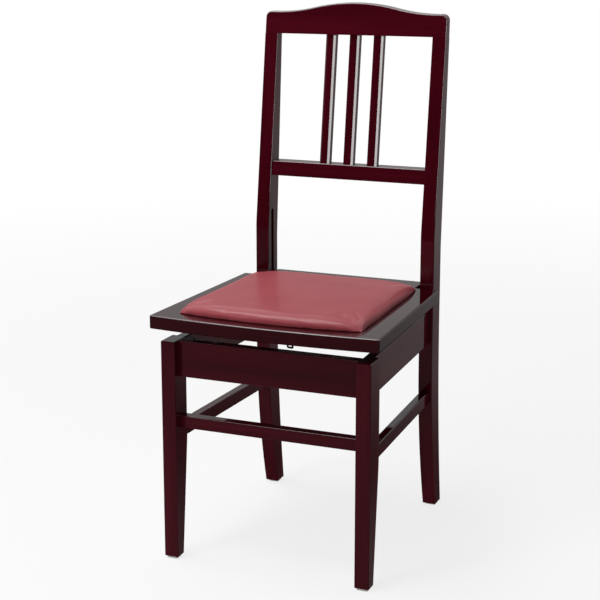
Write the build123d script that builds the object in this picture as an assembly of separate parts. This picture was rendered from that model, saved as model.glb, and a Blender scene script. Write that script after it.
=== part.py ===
from build123d import *
import math
import os

# A high-backed piano chair whose seat slides up and down between the back posts.
# Lengths are millimetres. X runs across the chair, Y from the front to the back and Z up from the floor.
# Depths (Y) are measured back from the front legs' front faces until export, when PLAN_MIDDLE is taken
# off them, so that the origin lies on the floor under the middle of the chair.

# ---- driving dimensions ----
PLAN_MIDDLE = 206.05    # from the front legs' front faces back to the middle of the whole chair

# foot glides
GLIDE_HEIGHT = 4.0      # the legs stand on glides this thick
GLIDE_PAD = (19.5, 17.5)
GLIDE_CORNER = 3.0
GLIDE_PIN = (1.5, 10.0)         # radius and length

# front legs
LEG_OUTER_X = 185.0
LEG_THICK = 25.5
LEG_DEPTH = 43.5
LEG_FOOT_DEPTH = 23.0
LEG_TAPER_Z = 206.0     # the rear face tapers from here down to the foot

# back posts: upright between two heights, swept back below and leaning back above
POST_OUTER_X = 172.2
POST_THICK = 25.4
POST_FRONT_Y = 360.3
POST_BACK_Y = 402.0
POST_FRONT_SWEEP_Z = 290.0
POST_BACK_SWEEP_Z = 380.0
POST_FRONT_SWEEP_RADIUS = 1040.0
POST_BACK_SWEEP_RADIUS = 2495.0
POST_FRONT_KINK_Z = 520.0
POST_BACK_KINK_Z = 495.0
FRONT_LEAN = 0.135      # run per rise of the front face above its kink
BACK_LEAN = 0.070       # the same for the back face, so the post thins towards its top
POST_TOP_Z = 864.5
KINK_RADIUS = 140.0     # eases the two bends where the lean starts
FOOT_TRIM = 30.0        # spare length below the floor, cut off level

# rails under the seat
RAIL_TOP_Z = 383.5
RAIL_BOTTOM_Z = 321.0
RAIL_THICK = 18.0
RAIL_INSET_X = 8.0      # side rails lie this far inside the legs' outer faces
APRON_FRONT_Y = 14.2
REAR_APRON_Y = 387.0
REAR_APRON_THICK = 14.0

# stretchers
FRONT_STRETCHER_Z = (230.5, 252.0)
FRONT_STRETCHER_Y = 18.0
SIDE_STRETCHER_Z = (208.4, 232.3)
SIDE_STRETCHER_THICK = 15.0
SIDE_STRETCHER_INSET_X = 6.8

# back
CREST_END_Z = 904.0
CREST_HUMP = 17.5
CREST_HUMP_HALF = 152.0
CREST_CORNER = 11.0
LOWER_RAIL_Z = (608.0, 634.6)
LOWER_RAIL_INSET_Y = 3.0
LOWER_RAIL_DEPTH = 29.0
SLAT_WIDTH = 18.5
SLAT_PITCH = 45.3
SLAT_DEPTH = 16.8
SLAT_INSET_Y = 4.0
SLAT_BEVEL = 3.2        # along the two front edges

# joints: each tenon's section, and how deep it goes
LEG_TENON = 14.0
APRON_TENON_Y = (18.2, 27.2)
FRONT_TENON_Z = (334.0, 376.0)
FRONT_STRETCHER_TENON = ((23.0, 31.0), (234.0, 248.0))     # Y, Z
SIDE_FRONT_TENON = ((163.5, 173.5), 30.0)                   # X, Y it reaches
SIDE_REAR_TENON = ((157.8, 163.6), 382.0)
REAR_TENON_Z = (330.0, 374.0)
SIDE_STRETCHER_TENON_Z = (213.0, 228.0)
SIDE_STRETCHER_FRONT_TENON = ((167.0, 175.0), 33.0)
SIDE_STRETCHER_REAR_TENON = ((154.5, 162.0), (360.0, 380.0))
REAR_APRON_TENON = 16.0
REAR_APRON_TENON_Y = (389.5, 398.5)
LOWER_RAIL_TENON = ((386.0, 396.0), (613.0, 630.0))
POST_TOP_TENON = (7.0, 19.0, 20.0)      # from the outer face, to, and height
TENON_HALF = 4.0
SLAT_TENON = 10.0
SLAT_TENON_HALF = 5.0

# corner blocks and their screws
CORNER_BLOCK_Z = (322.0, 372.0)
CORNER_BLOCK_LEGS = (44.0, 42.0)        # along the apron and along the side rail
CORNER_GAP = 0.3
CORNER_SCREW_AT = (141.0, 57.6, 329.5)
CORNER_SCREW = (2.4, 42.0)              # radius and length
CORNER_SCREW_HEAD = (4.8, 4.0)

# seat
SEAT_TOP_Z = 427.8
SEAT_BOTTOM_Z = 405.4
SEAT_FRONT_HALF = 201.0
SEAT_WING_HALF = 187.6
SEAT_CORNER_Y = -9.0
SEAT_BOW = 10.5
SEAT_WING_Y = 343.0
SEAT_TONGUE_HALF = 143.4
SEAT_TONGUE_Y = 397.0
CUSHION_FRONT_HALF = 161.5
CUSHION_REAR_HALF = 153.0
CUSHION_FRONT_Y = 21.0
CUSHION_REAR_Y = 327.0
CUSHION_BOW = 14.0
CUSHION_HEIGHT = 22.0
PANEL_THICK = 6.0
PANEL_INSET = 9.0
BUFFER_AT = (143.0, 46.0)
BUFFER = (5.5, 7.0, 14.5)       # lower radius, upper radius, height
BOARD_CORNER = 5.0
BOARD_TOP_ROUND = 2.5
BOARD_UNDER_CHAMFER = 1.2
CUSHION_ROUND = 12.0

# slot in each post's inner face, and what runs in it
SLOT_Y = (373.0, 384.0)
SLOT_Z = (292.0, 545.6)
SLOT_DEPTH = 9.5
RACK_THICK = 3.5
RACK_WIDTH = 4.0
RACK_PITCH = 9.0
RACK_STEPS_DOWN = 2
RACK_STEPS_UP = 10
NOTCH_GAP = 0.3
NOTCH_FLOOR = 0.9
BLOCK_SIZE = (4.0, 10.4, 14.0)
BLOCK_HEIGHTS = (324.0, 395.0)
BRACKET_OUTER_X = 144.6
BRACKET_THICK = 3.0
CROSS_TUBE = (8.0, 6.5)         # outer and inner radius
CROSS_TUBE_AT = (355.0, 375.0)  # Y, Z
FLANGE_INNER_X = 116.0
SCREW_HEAD_THICK = 2.8
BRACKET_SCREW = (16.0, 2.2, 4.5)        # length, radius, head radius
BRACKET_SCREW_X = 126.0
BRACKET_SCREW_YS = (85, 170, 255, 340)
PANEL_SCREW = (20.0, 1.9, 4.2)
PANEL_SCREW_X = 90.0
PANEL_SCREW_YS = (80, 280)
RIVET_RADII = (2.5, 4.5, 4.0)           # shank, head, collar
RIVET_HEAD = 2.0
RIVET_COLLAR = 2.8
RIVET_REACH = 6.3

# latch: a shaft across the chair with a pawl at each end and a wire lever in the middle
SHAFT_RADIUS = 3.0
SHAFT_AT = (376.6, 340.0)       # Y, Z
PAWL_ARM = 42.0
PAWL_X = (152.6, 155.9)
TOOTH_HALF = 2.0
LEVER_RADIUS = 1.6
LEVER_X = 17.0
LEVER_BEND = 1.7
SPRING_X = 30.0
SPRING_TURNS = 7
SPRING_PITCH = 1.1
SPRING_WIRE = 0.6
SPRING_LEG = 24.0

WOOD_ROUND = 2.0
FOOT_CHAMFER = 0.8
POST_INNER_X = POST_OUTER_X - POST_THICK
LEG_INNER_X = LEG_OUTER_X - LEG_THICK


# ---- helpers ----
def block(x, y, z):
    """A box from three (low, high) pairs."""
    size = [high - low for low, high in (x, y, z)]
    middle = [(low + high) / 2 for low, high in (x, y, z)]
    return Pos(*middle) * Box(*size)


def side_plate(outline, x):
    """Extrude a closed (Y, Z) outline, given as a face on Plane.YZ, from x[0] to x[1]."""
    return Pos(x[0], 0, 0) * extrude(outline, amount=x[1] - x[0], dir=(1, 0, 0))


def yz_polygon(*points):
    return Plane.YZ * make_face(Polyline(*points, close=True))


def plan_polygon(z, *points):
    """Extrude a closed (X, Y) outline between two heights."""
    return Pos(0, 0, z[0]) * extrude(make_face(Polyline(*points, close=True)), amount=z[1] - z[0])


def cylinder_x(radius, x, y, z):
    """A round bar along X from x[0] to x[1]."""
    return Pos((x[0] + x[1]) / 2, y, z) * Rot(0, 90, 0) * Cylinder(radius, x[1] - x[0])


def other_side(shape):
    return mirror(shape, about=Plane.YZ)


def long_edges(shape, axis):
    """The edges that run mostly along an axis, from the frontmost to the rearmost."""
    along = {"X": Vector(1, 0, 0), "Y": Vector(0, 1, 0), "Z": Vector(0, 0, 1)}[axis]
    edges = [edge for edge in shape.edges() if abs(edge.tangent_at(0.5).dot(along)) > 0.9]
    return sorted(edges, key=lambda edge: edge.center().Y)


def round_long_edges(shape, axis, radius):
    return fillet(long_edges(shape, axis), radius)


def post_front(z):
    return POST_FRONT_Y + FRONT_LEAN * max(0.0, z - POST_FRONT_KINK_Z)


def post_back(z):
    return POST_BACK_Y + BACK_LEAN * max(0.0, z - POST_BACK_KINK_Z)


def sweep_y(start_y, start_z, radius, z):
    """Depth of a face that curves back below start_z."""
    return start_y + radius - math.sqrt(radius ** 2 - (start_z - z) ** 2)


def foot_front_y(z):
    return sweep_y(POST_FRONT_Y, POST_FRONT_SWEEP_Z, POST_FRONT_SWEEP_RADIUS, z)


def foot_back_y(z):
    return sweep_y(POST_BACK_Y, POST_BACK_SWEEP_Z, POST_BACK_SWEEP_RADIUS, z)


def inset_line(outer_inset, y):
    """X of a line that many millimetres inside the line of the legs' outer faces, at a depth."""
    share = (y - LEG_DEPTH) / (POST_FRONT_Y - LEG_DEPTH)
    return LEG_OUTER_X + (POST_OUTER_X - LEG_OUTER_X) * share - outer_inset


# ---- tenons, cut into the legs and posts as mortises ----
def apron_tenon():
    return block((LEG_INNER_X, LEG_INNER_X + LEG_TENON), APRON_TENON_Y, FRONT_TENON_Z)


def front_stretcher_tenon():
    return block((LEG_INNER_X, LEG_INNER_X + LEG_TENON), *FRONT_STRETCHER_TENON)


def side_rail_front_tenon():
    x, y = SIDE_FRONT_TENON
    return block(x, (y, LEG_DEPTH), FRONT_TENON_Z)


def side_rail_rear_tenon():
    x, y = SIDE_REAR_TENON
    return block(x, (POST_FRONT_Y, y), REAR_TENON_Z)


def side_stretcher_front_tenon():
    x, y = SIDE_STRETCHER_FRONT_TENON
    return block(x, (y, LEG_DEPTH), SIDE_STRETCHER_TENON_Z)


def side_stretcher_rear_tenon():
    return block(*SIDE_STRETCHER_REAR_TENON, SIDE_STRETCHER_TENON_Z)


def rear_apron_tenon():
    return block((POST_INNER_X, POST_INNER_X + REAR_APRON_TENON), REAR_APRON_TENON_Y, REAR_TENON_Z)


def lower_rail_tenon():
    return block((POST_INNER_X, POST_INNER_X + LEG_TENON), *LOWER_RAIL_TENON)


def post_top_tenon():
    near, far, height = POST_TOP_TENON
    middle = (post_front(POST_TOP_Z) + post_back(POST_TOP_Z)) / 2
    y = (middle - TENON_HALF, middle + TENON_HALF)
    return block((POST_OUTER_X - far, POST_OUTER_X - near), y, (POST_TOP_Z, POST_TOP_Z + height))


def slat_end_tenon(x, z):
    """A stub at each end of a slat, centred in the slat's depth."""
    middle = post_front(z[0]) + SLAT_INSET_Y + SLAT_DEPTH / 2
    return block((x - SLAT_TENON_HALF, x + SLAT_TENON_HALF), (middle - TENON_HALF, middle + TENON_HALF), z)


def corner_screw():
    """A countersunk wood screw along the diagonal of a front corner, from the block into the leg."""
    radius, length = CORNER_SCREW
    head_radius, head_length = CORNER_SCREW_HEAD
    shank = Pos(0, 0, length / 2) * Cylinder(radius, length)
    head = Pos(0, 0, head_length / 2) * Cone(head_radius, radius, head_length)
    place = Pos(*CORNER_SCREW_AT) * Rot(0, 0, -45) * Rot(0, 90, 0)
    return place * (shank + head)


def glide_pin(x, y):
    radius, length = GLIDE_PIN
    return Pos(x, y, GLIDE_HEIGHT + length / 2) * Cylinder(radius, length)


# ---- wooden frame ----
def front_leg():
    outline = yz_polygon(
        (0, GLIDE_HEIGHT), (0, RAIL_TOP_Z), (LEG_DEPTH, RAIL_TOP_Z),
        (LEG_DEPTH, LEG_TAPER_Z), (LEG_FOOT_DEPTH, GLIDE_HEIGHT),
    )
    leg = side_plate(outline, (LEG_INNER_X, LEG_OUTER_X))
    leg = round_long_edges(leg, "Z", WOOD_ROUND)
    leg = chamfer(leg.faces().sort_by(Axis.Z)[-1].edges(), 1.0)
    leg = chamfer(leg.faces().sort_by(Axis.Z)[0].edges(), FOOT_CHAMFER)
    leg -= [apron_tenon(), front_stretcher_tenon(), side_rail_front_tenon(), side_stretcher_front_tenon()]
    leg -= corner_screw()
    return leg - glide_pin(*FRONT_GLIDE_AT)


def post_outline():
    """The post from the side, with its foot run on past the floor so that it can be trimmed level."""
    top = POST_TOP_Z
    low = -FOOT_TRIM
    face = make_face([
        TangentArc((POST_FRONT_Y, POST_FRONT_SWEEP_Z), (foot_front_y(low), low), tangent=(0, -1)),
        Polyline(
            (POST_FRONT_Y, POST_FRONT_SWEEP_Z), (POST_FRONT_Y, POST_FRONT_KINK_Z),
            (post_front(top), top), (post_back(top), top),
            (POST_BACK_Y, POST_BACK_KINK_Z), (POST_BACK_Y, POST_BACK_SWEEP_Z),
        ),
        TangentArc((POST_BACK_Y, POST_BACK_SWEEP_Z), (foot_back_y(low), low), tangent=(0, -1)),
        Line((foot_back_y(low), low), (foot_front_y(low), low)),
    ])
    kinks = [v for v in face.vertices() if min(abs(v.Y - POST_FRONT_KINK_Z), abs(v.Y - POST_BACK_KINK_Z)) < 1]
    return Plane.YZ * fillet(kinks, KINK_RADIUS)


def post_blank():
    return side_plate(post_outline(), (POST_INNER_X, POST_OUTER_X))


def slot():
    """The groove in a post's inner face, with round ends."""
    width = SLOT_Y[1] - SLOT_Y[0]
    middle = (SLOT_Y[0] + SLOT_Y[1]) / 2
    length = SLOT_Z[1] - SLOT_Z[0]
    shape = Rot(0, 90, 0) * extrude(SlotOverall(length, width), amount=SLOT_DEPTH)
    return Pos(POST_INNER_X, middle, (SLOT_Z[0] + SLOT_Z[1]) / 2) * shape


def back_post():
    post = round_long_edges(post_blank(), "Z", WOOD_ROUND)
    post -= block((POST_INNER_X, POST_OUTER_X), (380, 450), (-2 * FOOT_TRIM, GLIDE_HEIGHT))
    post = chamfer(post.faces().sort_by(Axis.Z)[0].edges(), FOOT_CHAMFER)
    post -= [slot(), side_rail_rear_tenon(), side_stretcher_rear_tenon()]
    post -= [rear_apron_tenon(), lower_rail_tenon()]
    post -= glide_pin(*REAR_GLIDE_AT)
    return post + post_top_tenon()


def front_apron():
    depth = (APRON_FRONT_Y, APRON_FRONT_Y + RAIL_THICK)
    bar = block((-LEG_INNER_X, LEG_INNER_X), depth, (RAIL_BOTTOM_Z, RAIL_TOP_Z))
    bar = round_long_edges(bar, "X", WOOD_ROUND)
    return bar + apron_tenon() + other_side(apron_tenon())


def side_bar(inset, thick, z, y_end):
    """A bar from the front leg's rear face to a depth, parallel to the line of the outer faces."""
    return plan_polygon(
        z,
        (inset_line(inset, LEG_DEPTH), LEG_DEPTH), (inset_line(inset, y_end), y_end),
        (inset_line(inset + thick, y_end), y_end), (inset_line(inset + thick, LEG_DEPTH), LEG_DEPTH),
    )


def side_rail():
    bar = side_bar(RAIL_INSET_X, RAIL_THICK, (RAIL_BOTTOM_Z, RAIL_TOP_Z), POST_FRONT_Y)
    bar = round_long_edges(bar, "Y", WOOD_ROUND)
    return bar + side_rail_front_tenon() + side_rail_rear_tenon()


def side_stretcher():
    bar = side_bar(SIDE_STRETCHER_INSET_X, SIDE_STRETCHER_THICK, SIDE_STRETCHER_Z, POST_FRONT_Y + 10)
    bar = round_long_edges(bar, "Y", WOOD_ROUND) - post_blank()
    bar = bar.solids().sort_by(Axis.Y)[0]
    rear_tenon = side_stretcher_rear_tenon() & post_blank()
    return bar + side_stretcher_front_tenon() + rear_tenon


def front_stretcher():
    depth = (FRONT_STRETCHER_Y, FRONT_STRETCHER_Y + RAIL_THICK)
    bar = block((-LEG_INNER_X, LEG_INNER_X), depth, FRONT_STRETCHER_Z)
    bar = round_long_edges(bar, "X", WOOD_ROUND)
    return bar + front_stretcher_tenon() + other_side(front_stretcher_tenon())


def rear_apron():
    depth = (REAR_APRON_Y, REAR_APRON_Y + REAR_APRON_THICK)
    bar = block((-POST_INNER_X, POST_INNER_X), depth, (RAIL_BOTTOM_Z, RAIL_TOP_Z))
    bar = round_long_edges(bar, "X", WOOD_ROUND)
    return bar + rear_apron_tenon() + other_side(rear_apron_tenon())


def leaning_bar(x, z, front_inset, depth):
    """A bar of even depth between two heights that leans with the posts' front faces."""
    front = [post_front(height) + front_inset for height in z]
    outline = yz_polygon(
        (front[0], z[0]), (front[1], z[1]),
        (front[1] + depth, z[1]), (front[0] + depth, z[0]),
    )
    return side_plate(outline, x)


def lower_back_rail():
    z = LOWER_RAIL_Z
    bar = leaning_bar((-POST_INNER_X, POST_INNER_X), z, LOWER_RAIL_INSET_Y, LOWER_RAIL_DEPTH)
    bar = round_long_edges(bar, "X", WOOD_ROUND)
    bar += [lower_rail_tenon(), other_side(lower_rail_tenon())]
    return bar - [slat_end_tenon(x, (z[1] - SLAT_TENON, z[1])) for x in SLAT_XS]


def crest_front_outline():
    """The crest seen from the front: two shoulders that swell into a low hump in the middle."""
    half = POST_OUTER_X
    shoulder = CREST_HUMP_HALF
    mid_x = shoulder / 2
    mid_z = CREST_END_Z + CREST_HUMP / 2
    peak = CREST_END_Z + CREST_HUMP
    rise_right = TangentArc((shoulder, CREST_END_Z), (mid_x, mid_z), tangent=(-1, 0))
    rise_left = TangentArc((-shoulder, CREST_END_Z), (-mid_x, mid_z), tangent=(1, 0))
    slope = rise_right @ 1
    crown_right = TangentArc((0, peak), (slope.X, slope.Y), tangent=(1, 0))
    crown_left = TangentArc((0, peak), (-slope.X, slope.Y), tangent=(-1, 0))
    corner = CREST_CORNER
    right_end = RadiusArc((half, CREST_END_Z - corner), (half - corner, CREST_END_Z), -corner)
    left_end = RadiusArc((-half, CREST_END_Z - corner), (-half + corner, CREST_END_Z), corner)
    return make_face([
        Line((-half, POST_TOP_Z), (half, POST_TOP_Z)),
        Line((half, POST_TOP_Z), (half, CREST_END_Z - corner)),
        right_end,
        Line((half - corner, CREST_END_Z), (shoulder, CREST_END_Z)),
        rise_right, crown_right, crown_left, rise_left,
        Line((-shoulder, CREST_END_Z), (-half + corner, CREST_END_Z)),
        left_end,
        Line((-half, CREST_END_Z - corner), (-half, POST_TOP_Z)),
    ])


def crest_rail():
    z = (POST_TOP_Z, CREST_END_Z + CREST_HUMP)
    front_view = extrude(Plane.XZ * crest_front_outline(), amount=-600)
    outline = yz_polygon(
        (post_front(z[0]), z[0]), (post_front(z[1]), z[1]),
        (post_back(z[1]), z[1]), (post_back(z[0]), z[0]),
    )
    bar = side_plate(outline, (-POST_OUTER_X - 1, POST_OUTER_X + 1)) & front_view
    top_edges = [
        edge for edge in bar.edges()
        if edge.center().Z > POST_TOP_Z + 8 and abs(edge.tangent_at(0.5).Y) < 0.3
    ]
    bar = fillet(top_edges, 3.0)
    bar -= [post_top_tenon(), other_side(post_top_tenon())]
    return bar - [slat_end_tenon(x, (z[0], z[0] + SLAT_TENON)) for x in SLAT_XS]


def back_slat(x):
    z = (LOWER_RAIL_Z[1], POST_TOP_Z)
    slat = leaning_bar((x - SLAT_WIDTH / 2, x + SLAT_WIDTH / 2), z, SLAT_INSET_Y, SLAT_DEPTH)
    slat = chamfer(long_edges(slat, "Z")[:2], SLAT_BEVEL)
    slat = fillet(long_edges(slat, "Z")[-2:], WOOD_ROUND)
    return slat + slat_end_tenon(x, (z[0] - SLAT_TENON, z[0])) + slat_end_tenon(x, (z[1], z[1] + SLAT_TENON))


def corner_block():
    """A triangular glue block in the front corner, behind the apron and inside the side rail."""
    y_low = APRON_FRONT_Y + RAIL_THICK
    y_high = y_low + CORNER_BLOCK_LEGS[1]
    inset = RAIL_INSET_X + RAIL_THICK
    prism = plan_polygon(
        CORNER_BLOCK_Z,
        (inset_line(inset, y_low), y_low), (inset_line(inset, y_high), y_high),
        (inset_line(inset, y_low) - CORNER_BLOCK_LEGS[0], y_low),
    )
    leg_corner = block((LEG_INNER_X - CORNER_GAP, LEG_OUTER_X), (0, LEG_DEPTH + CORNER_GAP), CORNER_BLOCK_Z)
    return prism - leg_corner - corner_screw()


def foot_glide(x, y):
    pad = extrude(RectangleRounded(*GLIDE_PAD, GLIDE_CORNER), amount=GLIDE_HEIGHT)
    pad = chamfer(pad.faces().sort_by(Axis.Z)[0].edges(), FOOT_CHAMFER)
    return Pos(x, y, 0) * pad + glide_pin(x, y)


def slot_rack():
    """A toothed strip on the slot's rear wall; the pawl stands in one of its notches."""
    middle = SHAFT_AT[1] + PAWL_ARM
    low = middle - (RACK_STEPS_DOWN + 1) * RACK_PITCH
    high = middle + (RACK_STEPS_UP + 1) * RACK_PITCH
    outer = POST_INNER_X + SLOT_DEPTH
    strip = block((outer - RACK_WIDTH, outer), (SLOT_Y[1] - RACK_THICK, SLOT_Y[1]), (low, high))
    for step in range(-RACK_STEPS_DOWN, RACK_STEPS_UP + 1):
        at = middle + step * RACK_PITCH
        notch = (at - TOOTH_HALF - NOTCH_GAP, at + TOOTH_HALF + NOTCH_GAP)
        strip -= block((outer - RACK_WIDTH, outer), (SLOT_Y[1] - RACK_THICK, SLOT_Y[1] - NOTCH_FLOOR), notch)
    return strip


# ---- seat ----
def bowed_plan(front_half, front_y, bow, rear_points):
    """A plan outline with a bowed front edge; rear_points go from the right side round to the left."""
    front = ThreePointArc((-front_half, front_y), (0, front_y - bow), (front_half, front_y))
    rest = Polyline((front_half, front_y), *rear_points, (-front_half, front_y))
    return make_face([front, rest])


def seat_recess(gap):
    """The shallow recess for the cushion's panel, or the panel itself when gap is its clearance."""
    front = CUSHION_FRONT_HALF - PANEL_INSET - gap
    rear = CUSHION_REAR_HALF - PANEL_INSET - gap
    y_low = CUSHION_FRONT_Y + PANEL_INSET + gap
    y_high = CUSHION_REAR_Y - PANEL_INSET - gap
    outline = bowed_plan(front, y_low, CUSHION_BOW, [(rear, y_high), (-rear, y_high)])
    return Pos(0, 0, SEAT_TOP_Z - PANEL_THICK) * extrude(outline, amount=PANEL_THICK)


def seat_board():
    outline = bowed_plan(SEAT_FRONT_HALF, SEAT_CORNER_Y, SEAT_BOW, [
        (SEAT_WING_HALF, SEAT_WING_Y), (SEAT_TONGUE_HALF, SEAT_WING_Y),
        (SEAT_TONGUE_HALF, SEAT_TONGUE_Y), (-SEAT_TONGUE_HALF, SEAT_TONGUE_Y),
        (-SEAT_TONGUE_HALF, SEAT_WING_Y), (-SEAT_WING_HALF, SEAT_WING_Y),
    ])
    board = Pos(0, 0, SEAT_BOTTOM_Z) * extrude(outline, amount=SEAT_TOP_Z - SEAT_BOTTOM_Z)
    uprights = board.edges().filter_by(Axis.Z)
    board = fillet([edge for edge in uprights if abs(edge.center().X) > SEAT_TONGUE_HALF + 1], BOARD_CORNER)
    board = fillet(board.faces().sort_by(Axis.Z)[-1].edges(), BOARD_TOP_ROUND)
    board = chamfer(board.faces().sort_by(Axis.Z)[0].edges(), BOARD_UNDER_CHAMFER)
    board -= seat_recess(0)
    return board - bracket_screws() - panel_screws()


def cushion_panel():
    return seat_recess(0.5) - panel_screws()


def seat_cushion():
    outline = bowed_plan(CUSHION_FRONT_HALF, CUSHION_FRONT_Y, CUSHION_BOW, [
        (CUSHION_REAR_HALF, CUSHION_REAR_Y), (-CUSHION_REAR_HALF, CUSHION_REAR_Y),
    ])
    pad = Pos(0, 0, SEAT_TOP_Z) * extrude(outline, amount=CUSHION_HEIGHT)
    return fillet(pad.faces().sort_by(Axis.Z)[-1].edges(), CUSHION_ROUND)


def seat_buffer(x):
    """A rubber stop under the seat that comes down on a corner block."""
    low_radius, high_radius, height = BUFFER
    return Pos(x, BUFFER_AT[1], SEAT_BOTTOM_Z - height / 2) * Cone(low_radius, high_radius, height)


# ---- seat carriage: steel arms that hang from the seat and run in the slots ----
def seat_bracket():
    x = (BRACKET_OUTER_X - BRACKET_THICK, BRACKET_OUTER_X)
    web = side_plate(yz_polygon(
        (60, SEAT_BOTTOM_Z), (60, 394), (300, 382), (345, 315), (385, 315), (385, SEAT_BOTTOM_Z),
    ), x)
    front_and_foot = [edge for edge in web.edges().filter_by(Axis.X) if edge.center().Z < SEAT_BOTTOM_Z - 5]
    web = fillet(front_and_foot, 5.0)
    flange_z = (SEAT_BOTTOM_Z - BRACKET_THICK, SEAT_BOTTOM_Z)
    flange = block((FLANGE_INNER_X, BRACKET_OUTER_X), (60, 385), flange_z)
    bracket = web + flange
    bracket -= cylinder_x(SHAFT_RADIUS + 0.2, (x[0] - 1, x[1] + 1), *SHAFT_AT)
    return bracket - bracket_screws() - slide_rivets()


def screw_up(x, y, z, length, radius, head_radius):
    """A pan-head screw that points up, with its head's top face at z."""
    head = Pos(x, y, z - SCREW_HEAD_THICK / 2) * Cylinder(head_radius, SCREW_HEAD_THICK)
    return head + Pos(x, y, z + length / 2) * Cylinder(radius, length)


def bracket_screws():
    under = SEAT_BOTTOM_Z - BRACKET_THICK
    return Compound([
        screw_up(side * BRACKET_SCREW_X, y, under, *BRACKET_SCREW)
        for side in (-1, 1) for y in BRACKET_SCREW_YS
    ])


def panel_screws():
    return Compound([
        screw_up(side * PANEL_SCREW_X, y, SEAT_BOTTOM_Z, *PANEL_SCREW)
        for side in (-1, 1) for y in PANEL_SCREW_YS
    ])


def slot_middle_y():
    return (SLOT_Y[0] + SLOT_Y[1]) / 2


def slide_blocks():
    """Two nylon blocks that run in one post's slot."""
    thick, width, height = BLOCK_SIZE
    x = (BRACKET_OUTER_X + RIVET_COLLAR, BRACKET_OUTER_X + RIVET_COLLAR + thick)
    y = (slot_middle_y() - width / 2, slot_middle_y() + width / 2)
    blocks = [block(x, y, (z - height / 2, z + height / 2)) for z in BLOCK_HEIGHTS]
    return Compound([fillet(one.edges().filter_by(Axis.X), 2.0) - slide_rivets() for one in blocks])


def slide_rivets():
    """Steel rivets that carry the slide blocks, with a collar that spaces them off the bracket."""
    inner = BRACKET_OUTER_X - BRACKET_THICK
    shank_radius, head_radius, collar_radius = RIVET_RADII
    y = slot_middle_y()
    shapes = []
    for side in (-1, 1):
        for z in BLOCK_HEIGHTS:
            shank = cylinder_x(shank_radius, (inner, BRACKET_OUTER_X + RIVET_REACH), y, z)
            head = cylinder_x(head_radius, (inner - RIVET_HEAD, inner), y, z)
            collar = cylinder_x(collar_radius, (BRACKET_OUTER_X, BRACKET_OUTER_X + RIVET_COLLAR), y, z)
            rivet = shank + head + collar
            shapes.append(rivet if side > 0 else other_side(rivet))
    return Compound(shapes)


def cross_tube():
    half = BRACKET_OUTER_X - BRACKET_THICK
    outer = cylinder_x(CROSS_TUBE[0], (-half, half), *CROSS_TUBE_AT)
    return outer - cylinder_x(CROSS_TUBE[1], (-half, half), *CROSS_TUBE_AT)


# ---- latch ----
def latch_shaft():
    return cylinder_x(SHAFT_RADIUS, (-PAWL_X[0], PAWL_X[0]), *SHAFT_AT)


def pawl():
    """An arm up from the shaft's end whose tooth points back into a notch of the rack."""
    y, z = SHAFT_AT
    top = z + PAWL_ARM
    outline = yz_polygon(
        (y - 2.5, z), (y - 0.2, top + TOOTH_HALF), (y + 6.2, top + TOOTH_HALF - 0.6),
        (y + 6.2, top - TOOTH_HALF), (y + 2.6, top - TOOTH_HALF), (y + 2.5, z),
    )
    hub = cylinder_x(SHAFT_RADIUS, PAWL_X, y, z)
    return side_plate(outline, PAWL_X) + hub


def release_lever():
    """A wire welded to the shaft that runs forward under the seat and ends in a finger hook."""
    y, z = SHAFT_AT
    start = (LEVER_X, y - SHAFT_RADIUS - LEVER_RADIUS + 0.6, z + 2)
    path = FilletPolyline(
        start, (LEVER_X, 330, 347), (LEVER_X, 90, 386), (LEVER_X, 63, 389),
        (LEVER_X, 63, 378), (LEVER_X + 9, 63, 377.5), (LEVER_X + 9.5, 61, 381.5),
        radius=LEVER_BEND,
    )
    wire = sweep(Plane(origin=path @ 0, z_dir=path % 0) * Circle(LEVER_RADIUS), path)
    return wire - latch_shaft()


def torsion_spring():
    """A few close turns round the shaft that push the lever up, drawn as touching rings with two legs."""
    y, z = SHAFT_AT
    ring_radius = SHAFT_RADIUS + 1.5 * SPRING_WIRE
    end = SPRING_X + SPRING_PITCH * (SPRING_TURNS - 1) + SPRING_WIRE
    spring = cylinder_x(0.8 * SPRING_WIRE, (SPRING_X - SPRING_WIRE, end), y, z + ring_radius)
    leg = Rot(90, 0, 0) * Cylinder(SPRING_WIRE, SPRING_LEG)
    spring += Pos(SPRING_X, y - SPRING_LEG / 2, z + ring_radius) * leg
    for turn in range(SPRING_TURNS):
        ring = Torus(ring_radius, SPRING_WIRE)
        spring += Pos(SPRING_X + SPRING_PITCH * turn, y, z) * Rot(0, 90, 0) * ring
    return spring


SLAT_XS = (-SLAT_PITCH, 0.0, SLAT_PITCH)
FRONT_GLIDE_AT = (LEG_OUTER_X - LEG_THICK / 2, LEG_FOOT_DEPTH / 2)
REAR_GLIDE_AT = (
    POST_OUTER_X - POST_THICK / 2,
    (foot_front_y(GLIDE_HEIGHT) + foot_back_y(GLIDE_HEIGHT)) / 2,
)


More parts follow.
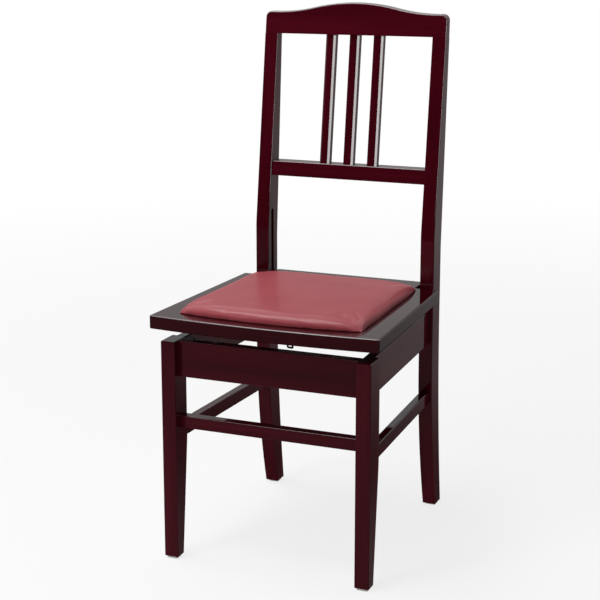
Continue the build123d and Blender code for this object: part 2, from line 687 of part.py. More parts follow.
def all_parts():
    pairs = {
        "front_leg": front_leg(),
        "back_post": back_post(),
        "side_rail": side_rail(),
        "side_stretcher": side_stretcher(),
        "corner_block": corner_block(),
        "slot_rack": slot_rack(),
        "front_foot_glide": foot_glide(*FRONT_GLIDE_AT),
        "rear_foot_glide": foot_glide(*REAR_GLIDE_AT),
        "seat_bracket": seat_bracket(),
        "slide_blocks": slide_blocks(),
        "pawl": pawl(),
    }
    parts = {
        "front_apron": front_apron(),
        "rear_apron": rear_apron(),
        "front_stretcher": front_stretcher(),
        "crest_rail": crest_rail(),
        "lower_back_rail": lower_back_rail(),
        "corner_block_screws": Compound([corner_screw(), other_side(corner_screw())]),
        "seat_board": seat_board(),
        "cushion_panel": cushion_panel(),
        "seat_cushion": seat_cushion(),
        "seat_buffers": Compound([seat_buffer(-BUFFER_AT[0]), seat_buffer(BUFFER_AT[0])]),
        "cross_tube": cross_tube(),
        "slide_rivets": slide_rivets(),
        "bracket_screws": bracket_screws(),
        "panel_screws": panel_screws(),
        "latch_shaft": latch_shaft(),
        "release_lever": release_lever(),
        "torsion_spring": torsion_spring(),
    }
    for name, x in zip(("left", "centre", "right"), SLAT_XS):
        parts[f"back_slat_{name}"] = back_slat(x)
    for name, shape in pairs.items():
        parts[f"{name}_right"] = shape
        parts[f"{name}_left"] = other_side(shape)
    return parts


os.makedirs("parts", exist_ok=True)
for part_name, part_shape in all_parts().items():
    export_step(Pos(0, -PLAN_MIDDLE, 0) * part_shape, f"parts/{part_name}.step")
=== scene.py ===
import math
import bmesh
import bpy
from mathutils import Matrix, Vector


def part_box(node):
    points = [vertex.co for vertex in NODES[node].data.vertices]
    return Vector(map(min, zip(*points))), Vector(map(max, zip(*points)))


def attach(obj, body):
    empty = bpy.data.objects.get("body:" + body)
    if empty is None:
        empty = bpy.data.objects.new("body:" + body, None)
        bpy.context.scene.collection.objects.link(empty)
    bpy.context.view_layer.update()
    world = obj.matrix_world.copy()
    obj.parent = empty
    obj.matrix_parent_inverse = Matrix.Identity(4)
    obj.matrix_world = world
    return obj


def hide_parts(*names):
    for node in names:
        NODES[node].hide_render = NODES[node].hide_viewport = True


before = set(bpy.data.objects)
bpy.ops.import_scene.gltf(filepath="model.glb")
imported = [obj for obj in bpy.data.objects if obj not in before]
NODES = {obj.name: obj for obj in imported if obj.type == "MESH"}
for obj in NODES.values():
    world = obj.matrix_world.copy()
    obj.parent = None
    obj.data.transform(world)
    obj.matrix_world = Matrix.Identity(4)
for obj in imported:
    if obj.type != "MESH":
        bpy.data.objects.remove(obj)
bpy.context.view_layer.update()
MM = 0.001

# ---- camera: three quarters from the front right, looking down ----
CAMERA_AT = (0.938, -2.318, 1.037)
CAMERA_TURN = 0.392         # radians about Z
CAMERA_DOWN = 0.2184        # radians below level
CAMERA_LENS = 89.46         # mm
CAMERA_SENSOR = 36.0        # mm
CAMERA_SHIFT_Y = -0.055


def make_camera():
    data = bpy.data.cameras.new("camera")
    data.lens = CAMERA_LENS
    data.sensor_width = CAMERA_SENSOR
    data.shift_y = CAMERA_SHIFT_Y
    camera = bpy.data.objects.new("camera", data)
    camera.location = CAMERA_AT
    camera.rotation_euler = (math.pi / 2 - CAMERA_DOWN, 0.0, CAMERA_TURN)
    bpy.context.scene.collection.objects.link(camera)
    bpy.context.scene.camera = camera


# ---- floor and light ----
SEAT_MIDDLE = (0, 0, 0.45)
BACK_MIDDLE = (0, 0, 0.75)

# Brightness of the surroundings, as (low, high) levels, and where each change starts and ends.
WORLD_SEEN = 0.98               # what the camera sees past the floor
WORLD_BEHIND = (0.0, 0.55)      # mirrored in the lacquer, from the front of the room to its back
WORLD_TURN = (-0.35, 0.35)      # from where to where in a direction's Y
WORLD_ABOVE = (0.0, 3.0)        # added to that overhead
WORLD_RISE = (0.34, 0.58)       # from where to where in a direction's Z
FLOOR_HALF = 30.0
FLOOR_GREY = 0.15
FLOOR_GLOW = (0.80, 0.97)       # the floor itself, from near to far
FLOOR_REACH = (0.5, 4.5)        # metres from its middle
FLOOR_MIRRORED = [              # the floor in the lacquer, as (Y in metres, level)
    (-3.2, 0.0), (-1.1, 0.12), (-0.2, 0.12), (0.35, 0.04), (1.2, 0.16), (2.8, 0.32),
]


def area_light(name, at, aim, size, power, mirrored=True, lighting=True):
    """A soft box that may show in the lacquer, light the chair, or both."""
    data = bpy.data.lights.new(name, "AREA")
    data.shape = "RECTANGLE"
    data.size, data.size_y = size
    data.energy = power
    light = bpy.data.objects.new(name, data)
    light.location = at
    light.rotation_euler = (Vector(aim) - Vector(at)).to_track_quat("-Z", "Y").to_euler()
    light.visible_glossy = mirrored
    light.visible_diffuse = lighting
    bpy.context.scene.collection.objects.link(light)


def grey(level):
    return (level, level, level, 1.0)


def ramp(tree, value, ends, levels, shape="SMOOTHSTEP"):
    """A grey that goes between two levels as a value goes between two ends."""
    span = tree.nodes.new("ShaderNodeMapRange")
    span.interpolation_type = shape
    for name, number in zip(("From Min", "From Max", "To Min", "To Max"), (*ends, *levels)):
        span.inputs[name].default_value = number
    tree.links.new(value, span.inputs["Value"])
    return span.outputs["Result"]


def ramp_along(tree, source, axis, ends, levels, shape="SMOOTHSTEP"):
    """The same along one coordinate."""
    coords = tree.nodes.new("ShaderNodeTexCoord")
    split = tree.nodes.new("ShaderNodeSeparateXYZ")
    tree.links.new(coords.outputs[source], split.inputs[0])
    return ramp(tree, split.outputs[axis], ends, levels, shape)


def ramp_out(tree, ends, levels):
    """The same outward from the middle of the floor."""
    coords = tree.nodes.new("ShaderNodeTexCoord")
    reach = tree.nodes.new("ShaderNodeVectorMath")
    reach.operation = "LENGTH"
    tree.links.new(coords.outputs["Object"], reach.inputs[0])
    return ramp(tree, reach.outputs["Value"], ends, levels)


def profile_along(tree, source, axis, stops):
    """A grey that follows (coordinate, level) pairs."""
    first = stops[0][0]
    last = stops[-1][0]
    node = tree.nodes.new("ShaderNodeValToRGB")
    node.color_ramp.interpolation = "EASE"
    elements = node.color_ramp.elements
    while len(elements) < len(stops):
        elements.new(0.5)
    for element, (at, level) in zip(elements, stops):
        element.position = (at - first) / (last - first)
        element.color = grey(level)
    share = ramp_along(tree, source, axis, (first, last), (0.0, 1.0), "LINEAR")
    tree.links.new(share, node.inputs["Fac"])
    return node.outputs["Color"]


def added(tree, first, second):
    """The sum of two values."""
    node = tree.nodes.new("ShaderNodeMath")
    tree.links.new(first, node.inputs[0])
    tree.links.new(second, node.inputs[1])
    return node.outputs[0]


def choose(tree, ray, usual, special):
    """The special shader for one kind of ray and the usual one for the rest."""
    path = tree.nodes.new("ShaderNodeLightPath")
    either = tree.nodes.new("ShaderNodeMixShader")
    tree.links.new(path.outputs[ray], either.inputs[0])
    tree.links.new(usual.outputs[0], either.inputs[1])
    tree.links.new(special.outputs[0], either.inputs[2])
    return either


def make_world():
    """Plain pale surroundings; in the lacquer they are bright behind and above and dark in front."""
    world = bpy.data.worlds.new("studio")
    bpy.context.scene.world = world
    world.use_nodes = True
    tree = world.node_tree
    seen = tree.nodes["Background"]
    seen.inputs["Color"].default_value = grey(WORLD_SEEN)
    around = tree.nodes.new("ShaderNodeBackground")
    behind = ramp_along(tree, "Generated", "Y", WORLD_TURN, WORLD_BEHIND)
    above = ramp_along(tree, "Generated", "Z", WORLD_RISE, WORLD_ABOVE)
    tree.links.new(behind, around.inputs["Strength"])
    mirrored = tree.nodes.new("ShaderNodeBackground")
    tree.links.new(added(tree, behind, above), mirrored.inputs["Strength"])
    unseen = choose(tree, "Is Glossy Ray", around, mirrored)
    shown = choose(tree, "Is Camera Ray", unseen, seen)
    tree.links.new(shown.outputs[0], tree.nodes["World Output"].inputs["Surface"])


def floor_material():
    """Pale paper that glows, more so far away, to stay even; in lacquer it is dim in front."""
    material = bpy.data.materials.new("floor_paper")
    material.use_nodes = True
    tree = material.node_tree
    paper = tree.nodes["Principled BSDF"]
    paper.inputs["Base Color"].default_value = grey(FLOOR_GREY)
    paper.inputs["Roughness"].default_value = 1.0
    paper.inputs["Specular IOR Level"].default_value = 0.0
    paper.inputs["Emission Color"].default_value = grey(1.0)
    tree.links.new(ramp_out(tree, FLOOR_REACH, FLOOR_GLOW), paper.inputs["Emission Strength"])
    mirrored = tree.nodes.new("ShaderNodeEmission")
    tree.links.new(profile_along(tree, "Object", "Y", FLOOR_MIRRORED), mirrored.inputs["Strength"])
    shown = choose(tree, "Is Glossy Ray", paper, mirrored)
    tree.links.new(shown.outputs[0], tree.nodes["Material Output"].inputs["Surface"])
    return material


def make_floor():
    mesh = bpy.data.meshes.new("floor")
    signs = [(-1, -1), (1, -1), (1, 1), (-1, 1)]
    mesh.from_pydata([(FLOOR_HALF * x, FLOOR_HALF * y, 0) for x, y in signs], [], [(0, 1, 2, 3)])
    floor = bpy.data.objects.new("floor", mesh)
    bpy.context.scene.collection.objects.link(floor)
    mesh.materials.append(floor_material())


def make_lights():
    area_light("top_box", at=(-0.75, -0.55, 2.9), aim=SEAT_MIDDLE, size=(2.2, 1.0), power=66)
    area_light("key_box", at=(-1.5, -2.6, 1.9), aim=SEAT_MIDDLE, size=(0.9, 1.3), power=32,
               mirrored=False)
    area_light("right_box", at=(2.6, -0.75, 1.15), aim=BACK_MIDDLE, size=(0.9, 1.2), power=40,
               lighting=False)


# ---- material helpers ----
class Shader:
    """A new material with short calls for the nodes used here."""

    def __init__(self, name):
        self.material = bpy.data.materials.new(name)
        self.material.use_nodes = True
        self.tree = self.material.node_tree
        self.bsdf = self.tree.nodes["Principled BSDF"]

    def set(self, **values):
        for name, value in values.items():
            self.bsdf.inputs[name.replace("_", " ")].default_value = value

    def link(self, source, target):
        self.tree.links.new(source, target)

    def place(self, scale):
        """Object coordinates in metres, stretched by a scale on each axis."""
        coords = self.tree.nodes.new("ShaderNodeTexCoord")
        mapping = self.tree.nodes.new("ShaderNodeMapping")
        mapping.inputs["Scale"].default_value = scale
        self.link(coords.outputs["Object"], mapping.inputs["Vector"])
        return mapping.outputs["Vector"]

    def noise(self, scale, detail=3.0, roughness=0.5, distortion=0.0):
        node = self.tree.nodes.new("ShaderNodeTexNoise")
        node.inputs["Scale"].default_value = 1.0
        node.inputs["Detail"].default_value = detail
        node.inputs["Roughness"].default_value = roughness
        node.inputs["Distortion"].default_value = distortion
        self.link(self.place(scale), node.inputs["Vector"])
        return node.outputs["Fac"]

    def cells(self, scale, feature="F1"):
        node = self.tree.nodes.new("ShaderNodeTexVoronoi")
        node.feature = feature
        node.inputs["Scale"].default_value = 1.0
        self.link(self.place(scale), node.inputs["Vector"])
        return node.outputs["Distance"]

    def ramp(self, fac, stops):
        node = self.tree.nodes.new("ShaderNodeValToRGB")
        elements = node.color_ramp.elements
        while len(elements) < len(stops):
            elements.new(0.5)
        for element, (position, colour) in zip(elements, stops):
            element.position = position
            element.color = (*colour, 1.0)
        self.link(fac, node.inputs["Fac"])
        return node.outputs["Color"]

    def mix(self, fac, first, second, blend="MIX"):
        node = self.tree.nodes.new("ShaderNodeMix")
        node.data_type = "RGBA"
        node.blend_type = blend
        sockets = {s.identifier: s for s in node.inputs}
        for socket, value in (("Factor_Float", fac), ("A_Color", first), ("B_Color", second)):
            if isinstance(value, bpy.types.NodeSocket):
                self.link(value, sockets[socket])
            elif socket == "Factor_Float":
                sockets[socket].default_value = value
            else:
                sockets[socket].default_value = (*value, 1.0)
        return next(s for s in node.outputs if s.identifier == "Result_Color")

    def span(self, value, low, high):
        """Map 0..1 to low..high."""
        node = self.tree.nodes.new("ShaderNodeMapRange")
        node.inputs["To Min"].default_value = low
        node.inputs["To Max"].default_value = high
        self.link(value, node.inputs["Value"])
        return node.outputs["Result"]

    def bump(self, height, distance, strength=1.0, normal=None):
        node = self.tree.nodes.new("ShaderNodeBump")
        node.inputs["Distance"].default_value = distance
        node.inputs["Strength"].default_value = strength
        self.link(height, node.inputs["Height"])
        if normal:
            self.link(normal, node.inputs["Normal"])
        return node.outputs["Normal"]

    def finish(self, colour=None, roughness=None, normal=None):
        for value, name in ((colour, "Base Color"), (roughness, "Roughness"), (normal, "Normal")):
            if value:
                self.link(value, self.bsdf.inputs[name])
        return self.material


def along(axis, fast, slow):
    """A scale that is slow along the grain and fast across it."""
    return tuple(slow if name == axis else fast for name in "XYZ")


# ---- materials ----
WINE_SHADES = [     # along the wood's figure
    (0.28, (0.034, 0.0013, 0.0040)), (0.52, (0.047, 0.0019, 0.0056)), (0.76, (0.064, 0.0032, 0.0084)),
]


def mahogany(axis, tone=1.0):
    """Dark wine-red lacquered wood, with its grain along one axis; tone scales its lightness, and below 1
    it paints shade.
    """
    shader = Shader(f"mahogany_{axis.lower()}_{round(100 * tone)}")
    shader.set(Coat_Weight=1.0, Coat_Roughness=0.03, Coat_IOR=1.5, Specular_IOR_Level=0.0)
    figure = shader.noise(along(axis, 30, 1.6), 3.0, 0.5, 0.5)
    streak = shader.noise(along(axis, 340, 5.0), 3.0, 0.6)
    body = shader.ramp(figure, [(at, tuple(tone * part for part in shade)) for at, shade in WINE_SHADES])
    dark = shader.ramp(streak, [(0.35, (0.84, 0.78, 0.80)), (0.62, (1.0, 1.0, 1.0))])
    colour = shader.mix(0.7, body, dark, "MULTIPLY")
    peel = shader.noise((48, 48, 48), 2.0)
    return shader.finish(colour, shader.span(figure, 0.26, 0.34), shader.bump(peel, 0.0002, 0.08))


def vinyl():
    """Smooth brick-red upholstery vinyl with a fine pressed grain."""
    shader = Shader("cushion_vinyl")
    shader.set(Specular_IOR_Level=0.04, Coat_Weight=0.26, Coat_Roughness=0.2)
    cloud = shader.noise((11, 11, 11), 3.0)
    fleck = shader.noise((700, 700, 700), 2.0)
    body = shader.ramp(cloud, [(0.3, (0.265, 0.046, 0.056)), (0.7, (0.300, 0.056, 0.067))])
    specks = shader.ramp(fleck, [(0.35, (0.55, 0.5, 0.5)), (0.7, (1, 1, 1))])
    colour = shader.mix(0.10, body, specks, "MULTIPLY")
    pebbles = shader.cells((950, 950, 950))
    creases = shader.noise((320, 320, 320), 3.0, 0.6)
    normal = shader.bump(pebbles, 0.00012, 0.35)
    normal = shader.bump(creases, 0.00012, 0.25, normal)
    return shader.finish(colour, shader.span(cloud, 0.50, 0.44), normal)


def bare_wood():
    """Pale unfinished wood for what is out of sight."""
    shader = Shader("bare_wood")
    grain = shader.noise((14, 160, 160), 4.0, 0.6, 0.5)
    colour = shader.ramp(grain, [(0.3, (0.33, 0.20, 0.10)), (0.7, (0.50, 0.34, 0.19))])
    return shader.finish(colour, shader.span(grain, 0.7, 0.55), shader.bump(grain, 0.0001, 0.5))


def black_steel():
    """Steel under black paint."""
    shader = Shader("black_steel")
    shader.set(Metallic=0.0, Specular_IOR_Level=0.5, Coat_Weight=0.3, Coat_Roughness=0.25)
    speck = shader.noise((420, 420, 420), 3.0)
    colour = shader.ramp(speck, [(0.3, (0.010, 0.010, 0.011)), (0.7, (0.020, 0.020, 0.022))])
    return shader.finish(colour, shader.span(speck, 0.34, 0.48), shader.bump(speck, 0.00008, 0.4))


def zinc_steel():
    """Bright plated steel with a faint spangle."""
    shader = Shader("zinc_steel")
    shader.set(Metallic=1.0)
    spangle = shader.cells((260, 260, 260))
    colour = shader.ramp(spangle, [(0.1, (0.50, 0.50, 0.49)), (0.8, (0.66, 0.66, 0.66))])
    return shader.finish(colour, shader.span(spangle, 0.26, 0.42), shader.bump(spangle, 0.00004, 0.3))


def moulded(name, low, high, rough):
    """Moulded plastic or rubber with a faint sparkle texture."""
    shader = Shader(name)
    speck = shader.noise((600, 600, 600), 3.0)
    colour = shader.ramp(speck, [(0.3, low), (0.7, high)])
    return shader.finish(colour, shader.span(speck, rough, rough + 0.08), shader.bump(speck, 0.00006, 0.5))


# ---- materials on the CAD nodes ----
SEAT_PAINTED_SHADE = 0.5     # painted shade: the seat board is the same lacquered wood, painted darker than the rest
GRAIN_ALONG = {
    "X": ["front_apron", "rear_apron", "front_stretcher", "crest_rail", "lower_back_rail"],
    "Y": ["side_rail_left", "side_rail_right", "side_stretcher_left", "side_stretcher_right"],
    "Z": ["front_leg_left", "front_leg_right", "back_post_left", "back_post_right",
          "back_slat_left", "back_slat_centre", "back_slat_right"],
}


def dress(nodes, material):
    for node in nodes:
        mesh = NODES[node].data
        mesh.materials.clear()
        mesh.materials.append(material)


def dress_frame():
    for axis, nodes in GRAIN_ALONG.items():
        dress(nodes, mahogany(axis))
    # painted shade: the seat board gets the same wood at a darker tone
    dress(["seat_board"], mahogany("X", SEAT_PAINTED_SHADE))
    dress(["corner_block_left", "corner_block_right", "cushion_panel"], bare_wood())
    dress(["seat_bracket_left", "seat_bracket_right", "cross_tube", "release_lever"], black_steel())
    dress(["slot_rack_left", "slot_rack_right", "pawl_left", "pawl_right", "latch_shaft", "slide_rivets"],
          zinc_steel())
    dress(["slide_blocks_left", "slide_blocks_right"],
          moulded("slide_nylon", (0.02, 0.02, 0.021), (0.035, 0.035, 0.037), 0.45))
    dress(["seat_buffers"], moulded("buffer_rubber", (0.008, 0.008, 0.008), (0.016, 0.016, 0.016), 0.7))
    glides = [f"{end}_foot_glide_{side}" for end in ("front", "rear") for side in ("left", "right")]
    dress(glides, moulded("glide_plastic", (0.44, 0.43, 0.41), (0.56, 0.55, 0.52), 0.5))


# ---- helpers for new pieces ----
def new_piece(name, mesh, body, material):
    """A visible object that rides on a body."""
    piece = bpy.data.objects.new(name, mesh)
    bpy.context.scene.collection.objects.link(piece)
    mesh.materials.append(material)
    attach(piece, body)
    return piece


def select_only(piece):
    for other in bpy.context.selected_objects:
        other.select_set(False)
    piece.select_set(True)
    bpy.context.view_layer.objects.active = piece


def apply_modifier(piece, name):
    select_only(piece)
    bpy.ops.object.modifier_apply(modifier=name)


def as_mesh(mesh, name):
    """The finished mesh of a bmesh, which is freed."""
    data = bpy.data.meshes.new(name)
    mesh.to_mesh(data)
    mesh.free()
    return data


def shade_smooth(data, sharp=None):
    """Smooth shading, broken at edges sharper than an angle in degrees."""
    for polygon in data.polygons:
        polygon.use_smooth = True
    if sharp:
        data.set_sharp_from_angle(angle=math.radians(sharp))


# ---- cushion ----
CUSHION_BOW = 14 * MM       # how far the front edge bows out
CUSHION_TAPER = 8.5 * MM    # how much each side closes in towards the back
PAD_CROWN = 0.88            # the crown's height over the CAD pad's
PAD_ROLL = 12 * MM          # how far in from the outline the edge has rolled up to the top
PAD_DOME = 0.16             # share of the height that is a slow dome over the whole top
PAD_DROOP = 0.92            # share of the height lost at a corner
PAD_DROOP_POWER = 8         # how close to the corners that stays
PAD_GRID = 72               # cells along each side of the first mesh
PAD_VOXEL = 3.6 * MM

# The cover's simulation.
PAD_FRAMES = 16
PAD_PRESSURE = 1.4
PAD_STIFFNESS = 12.0        # against stretch and squeeze
PAD_SHEAR = 8.0
PAD_BENDING = 0.8
PAD_QUALITY = 8
PAD_CAP = 1.6 * MM          # the furthest that a point may move
PAD_HELD = 2.0 * MM         # points this close to the board are held
PAD_RELAX = 0.5             # how far each point then moves to its neighbours' middle
PAD_RELAX_TIMES = 2
PAD_KEPT = 1.0 * MM         # points this close to the board are left out of that


def cushion_point(across, back):
    """Plan point of the cushion for shares from -1 to 1 across it and from its front to its rear."""
    low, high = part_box("seat_cushion")
    depth = (back + 1) / 2
    half = (high.x - low.x) / 2 - CUSHION_TAPER * depth
    front = low.y + CUSHION_BOW * across * across
    return half * across, front + (high.y - front) * depth


def rolled(inward):
    """Share of the full height at a distance in from one edge: a quarter round, then flat."""
    return math.sqrt(1 - (1 - min(inward / PAD_ROLL, 1.0)) ** 2)


def cushion_height(across, back):
    """Height over the board: flat-topped, rolled over at the edges and pulled down at the corners."""
    low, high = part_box("seat_cushion")
    half_width = (high.x - low.x) / 2
    half_depth = (high.y - low.y) / 2
    edge = rolled((1 - abs(across)) * half_width) * rolled((1 - abs(back)) * half_depth)
    dome = 1 - PAD_DOME + PAD_DOME * (1 - across ** 2) * (1 - back ** 2)
    droop = 1 - PAD_DROOP * abs(across * back) ** PAD_DROOP_POWER
    return (high.z - low.z) * PAD_CROWN * edge * dome * droop


def remesh(piece, voxel):
    """Even quads all over, in place of the first mesh."""
    piece.data.remesh_voxel_size = voxel
    piece.data.use_remesh_preserve_volume = True
    select_only(piece)
    bpy.ops.object.voxel_remesh()


def swell(piece, base_z):
    """Inflate the pad like a cover stretched over foam, with its underside held on the board."""
    start = [v.co.copy() for v in piece.data.vertices]
    pinned = piece.vertex_groups.new(name="held")
    pinned.add([i for i, co in enumerate(start) if co.z < base_z + PAD_HELD], 1.0, "REPLACE")
    cloth = piece.modifiers.new("cloth", "CLOTH")
    settings = cloth.settings
    settings.vertex_group_mass = "held"
    settings.use_pressure = True
    settings.uniform_pressure_force = PAD_PRESSURE
    settings.tension_stiffness = PAD_STIFFNESS
    settings.compression_stiffness = PAD_STIFFNESS
    settings.shear_stiffness = PAD_SHEAR
    settings.bending_stiffness = PAD_BENDING
    settings.quality = PAD_QUALITY
    settings.effector_weights.gravity = 0.0
    cloth.point_cache.frame_start = 1
    cloth.point_cache.frame_end = PAD_FRAMES
    scene = bpy.context.scene
    for number in range(1, PAD_FRAMES + 1):
        scene.frame_set(number)
    graph = bpy.context.evaluated_depsgraph_get()
    moved = [v.co.copy() for v in piece.evaluated_get(graph).data.vertices]
    piece.modifiers.remove(cloth)
    piece.vertex_groups.remove(pinned)
    scene.frame_set(1)
    for vertex, before, after in zip(piece.data.vertices, start, moved):
        step = after - before
        if step.length > PAD_CAP:
            step *= PAD_CAP / step.length
        vertex.co = before + step


def relax(piece, base_z):
    """Even out the surface but leave the underside alone."""
    mesh = bmesh.new()
    mesh.from_mesh(piece.data)
    loose = [v for v in mesh.verts if v.co.z > base_z + PAD_KEPT]
    for _ in range(PAD_RELAX_TIMES):
        bmesh.ops.smooth_vert(mesh, verts=loose, factor=PAD_RELAX,
                              use_axis_x=True, use_axis_y=True, use_axis_z=True)
    mesh.to_mesh(piece.data)
    mesh.free()


def cushion_form():
    """A closed mesh: the rolled top over a flat underside that share one rim."""
    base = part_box("seat_cushion")[0].z
    shares = [math.sin(math.pi / 2 * (2 * i / PAD_GRID - 1)) for i in range(PAD_GRID + 1)]
    mesh = bmesh.new()
    top = {}
    under = {}
    for i, across in enumerate(shares):
        for j, back in enumerate(shares):
            x, y = cushion_point(across, back)
            rim = i in (0, PAD_GRID) or j in (0, PAD_GRID)
            height = 0 if rim else cushion_height(across, back)
            top[i, j] = mesh.verts.new((x, y, base + height))
            under[i, j] = top[i, j] if rim else mesh.verts.new((x, y, base))
    for i in range(PAD_GRID):
        for j in range(PAD_GRID):
            ring = [(i, j), (i + 1, j), (i + 1, j + 1), (i, j + 1)]
            mesh.faces.new([top[key] for key in ring])
            lower = [under[key] for key in reversed(ring)]
            if set(lower) != {top[key] for key in ring}:
                mesh.faces.new(lower)
    return as_mesh(mesh, "cushion_cover")


def make_cushion():
    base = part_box("seat_cushion")[0].z
    cushion = new_piece("cushion_cover", cushion_form(), "seat", vinyl())
    remesh(cushion, PAD_VOXEL)
    swell(cushion, base)
    relax(cushion, base)
    shade_smooth(cushion.data)
    cushion.modifiers.new("fine", "SUBSURF").levels = 1
    apply_modifier(cushion, "fine")
    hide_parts("seat_cushion")


# ---- screws: the proportions are parts of the head's radius ----
WELD = 0.01 * MM            # joins the corners that a CAD mesh repeats
SCREW_SHANK = 0.47
SCREW_HEAD = 0.62
SCREW_DOME = 0.6            # of the head's height
SCREW_DOME_ANGLES = (0.0, 0.35, 0.65, 0.95, 1.25, math.pi / 2)
SCREW_FLAT = 0.5            # the ring on a flat head that the recess lies in
SCREW_SIDES = 32
SCREW_SHARP = 32            # degrees
RECESS_ARM = 0.52
RECESS_HALF = 0.13
RECESS_ABOVE = -0.2         # the cutter starts outside the head
RECESS_DEPTH = 0.42
RECESS_TAPER = 0.55         # its far end over its near end


def solids_of(node):
    """The points of each separate solid in a CAD node, in the shared frame."""
    mesh = bmesh.new()
    mesh.from_mesh(NODES[node].data)
    bmesh.ops.transform(mesh, matrix=NODES[node].matrix_world, verts=mesh.verts)
    bmesh.ops.remove_doubles(mesh, verts=mesh.verts, dist=WELD)
    mesh.verts.ensure_lookup_table()
    seen = set()
    solids = []
    for start in range(len(mesh.verts)):
        if start in seen:
            continue
        seen.add(start)
        found = [start]
        for index in found:
            for edge in mesh.verts[index].link_edges:
                other = edge.other_vert(mesh.verts[index]).index
                if other not in seen:
                    seen.add(other)
                    found.append(other)
        solids.append([mesh.verts[index].co.copy() for index in found])
    mesh.free()
    return solids


def turned(profile, sides):
    """A closed solid turned about Z from (radius, z) pairs that start and end on the axis."""
    mesh = bmesh.new()
    rings = []
    for radius, z in profile:
        angles = [2 * math.pi * k / sides for k in range(sides if radius else 1)]
        rings.append([mesh.verts.new((radius * math.cos(a), radius * math.sin(a), z)) for a in angles])
    for lower, upper in zip(rings, rings[1:]):
        for k in range(sides):
            n = k + 1
            corners = [lower[k % len(lower)], lower[n % len(lower)],
                       upper[n % len(upper)], upper[k % len(upper)]]
            mesh.faces.new(list(dict.fromkeys(corners)))
    bmesh.ops.recalc_face_normals(mesh, faces=mesh.faces)
    return as_mesh(mesh, "turned")


def cross_cutter(arm, half, z_out, z_in):
    """A tapered plus-shaped peg that cuts a screw's recess."""
    outline = [(arm, -half), (arm, half), (half, half), (half, arm), (-half, arm), (-half, half),
               (-arm, half), (-arm, -half), (-half, -half), (-half, -arm), (half, -arm), (half, -half)]
    mesh = bmesh.new()
    outer = [mesh.verts.new((x, y, z_out)) for x, y in outline]
    inner = [mesh.verts.new((RECESS_TAPER * x, RECESS_TAPER * y, z_in)) for x, y in outline]
    mesh.faces.new(outer)
    mesh.faces.new(list(reversed(inner)))
    for k in range(len(outline)):
        n = (k + 1) % len(outline)
        mesh.faces.new([outer[k], inner[k], inner[n], outer[n]])
    bmesh.ops.recalc_face_normals(mesh, faces=mesh.faces)
    return as_mesh(mesh, "cross")


def screw_mesh(head_radius, length, domed):
    """A cross-head screw whose head starts at z 0 and whose point is at z length."""
    shank = SCREW_SHANK * head_radius
    head = SCREW_HEAD * head_radius
    if domed:
        crown = [(head_radius * math.sin(angle), SCREW_DOME * head * (1 - math.cos(angle)))
                 for angle in SCREW_DOME_ANGLES]
        crown += [(head_radius, head), (shank, head)]
    else:
        crown = [(0.0, 0.0), (SCREW_FLAT * head_radius, 0.0), (head_radius, 0.0),
                 (shank, head_radius - shank)]
    body = turned(crown + [(shank, length - 2 * shank), (0.0, length)], SCREW_SIDES)
    cross = cross_cutter(RECESS_ARM * head_radius, RECESS_HALF * head_radius,
                         RECESS_ABOVE * head_radius, RECESS_DEPTH * head_radius)
    piece = bpy.data.objects.new("screw_blank", body)
    peg = bpy.data.objects.new("screw_peg", cross)
    for part in (piece, peg):
        bpy.context.scene.collection.objects.link(part)
    cut = piece.modifiers.new("cut", "BOOLEAN")
    cut.object = peg
    cut.solver = "EXACT"
    apply_modifier(piece, "cut")
    bpy.data.objects.remove(piece)
    bpy.data.objects.remove(peg)
    return body


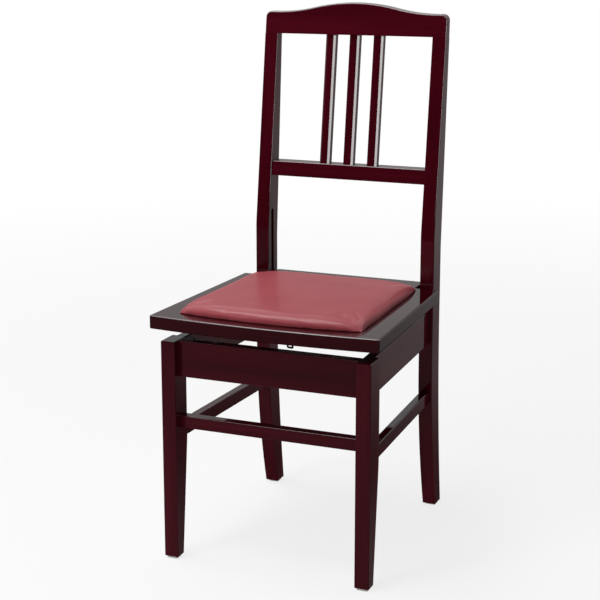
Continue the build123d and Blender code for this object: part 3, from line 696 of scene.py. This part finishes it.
def make_screws(node, body, material, domed, direction_of):
    """Cross-head screws in the places of a CAD node's plain ones; direction_of says where each points."""
    joined = bmesh.new()
    for points in solids_of(node):
        middle = sum(points, Vector()) / len(points)
        turn = direction_of(middle).to_track_quat("Z", "Y")
        local = [turn.inverted() @ point for point in points]
        low = Vector([min(point[axis] for point in local) for axis in range(3)])
        high = Vector([max(point[axis] for point in local) for axis in range(3)])
        one = screw_mesh((high.x - low.x) / 2, high.z - low.z, domed)
        place = turn @ Vector(((low.x + high.x) / 2, (low.y + high.y) / 2, low.z))
        one.transform(Matrix.Translation(place) @ turn.to_matrix().to_4x4())
        joined.from_mesh(one)
    data = as_mesh(joined, f"{node}_detailed")
    shade_smooth(data, SCREW_SHARP)
    piece = new_piece(f"{node}_detailed", data, body, material)
    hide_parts(node)


# ---- the latch's spring ----
SPRING_WIRE = 0.5 * MM      # radius
SPRING_TURNS = 6.25
SPRING_STEPS = 24           # points in a turn
SPRING_SHARP = 50           # degrees


def make_spring(material):
    """A coil of wire round the latch shaft with a leg that reaches forward."""
    low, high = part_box("torsion_spring")
    coil = (high.z - low.z) / 2 - SPRING_WIRE
    centre = Vector((low.x + SPRING_WIRE, high.y - SPRING_WIRE - coil, (low.z + high.z) / 2))
    total = SPRING_TURNS * 2 * math.pi
    points = [Vector((centre.x, low.y, centre.z + coil))]
    for step in range(int(SPRING_TURNS * SPRING_STEPS) + 1):
        angle = 2 * math.pi * step / SPRING_STEPS
        across = (high.x - low.x - 2 * SPRING_WIRE) * angle / total
        points.append(centre + Vector((across, coil * math.sin(angle), coil * math.cos(angle))))
    curve = bpy.data.curves.new("spring_path", "CURVE")
    curve.dimensions = "3D"
    curve.bevel_depth = SPRING_WIRE
    curve.bevel_resolution = 3
    curve.use_fill_caps = True
    spline = curve.splines.new("POLY")
    spline.points.add(len(points) - 1)
    for target, point in zip(spline.points, points):
        target.co = (*point, 1.0)
    path = bpy.data.objects.new("spring_path", curve)
    data = bpy.data.meshes.new_from_object(path)
    bpy.data.objects.remove(path)
    shade_smooth(data, SPRING_SHARP)
    data.materials.clear()
    piece = new_piece("coil_spring", data, "latch", material)
    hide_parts("torsion_spring")


def make_hardware():
    steel = zinc_steel()
    up = Vector((0, 0, 1))
    make_screws("bracket_screws", "seat", steel, True, lambda middle: up)
    make_screws("panel_screws", "seat", steel, True, lambda middle: up)
    make_screws("corner_block_screws", "frame", steel, False,
                lambda middle: Vector((math.copysign(1, middle.x), -1, 0)).normalized())
    make_spring(steel)


make_camera()
make_world()
make_floor()
make_lights()
dress_frame()
make_cushion()
make_hardware()
bpy.context.scene.view_settings.view_transform = "Standard"
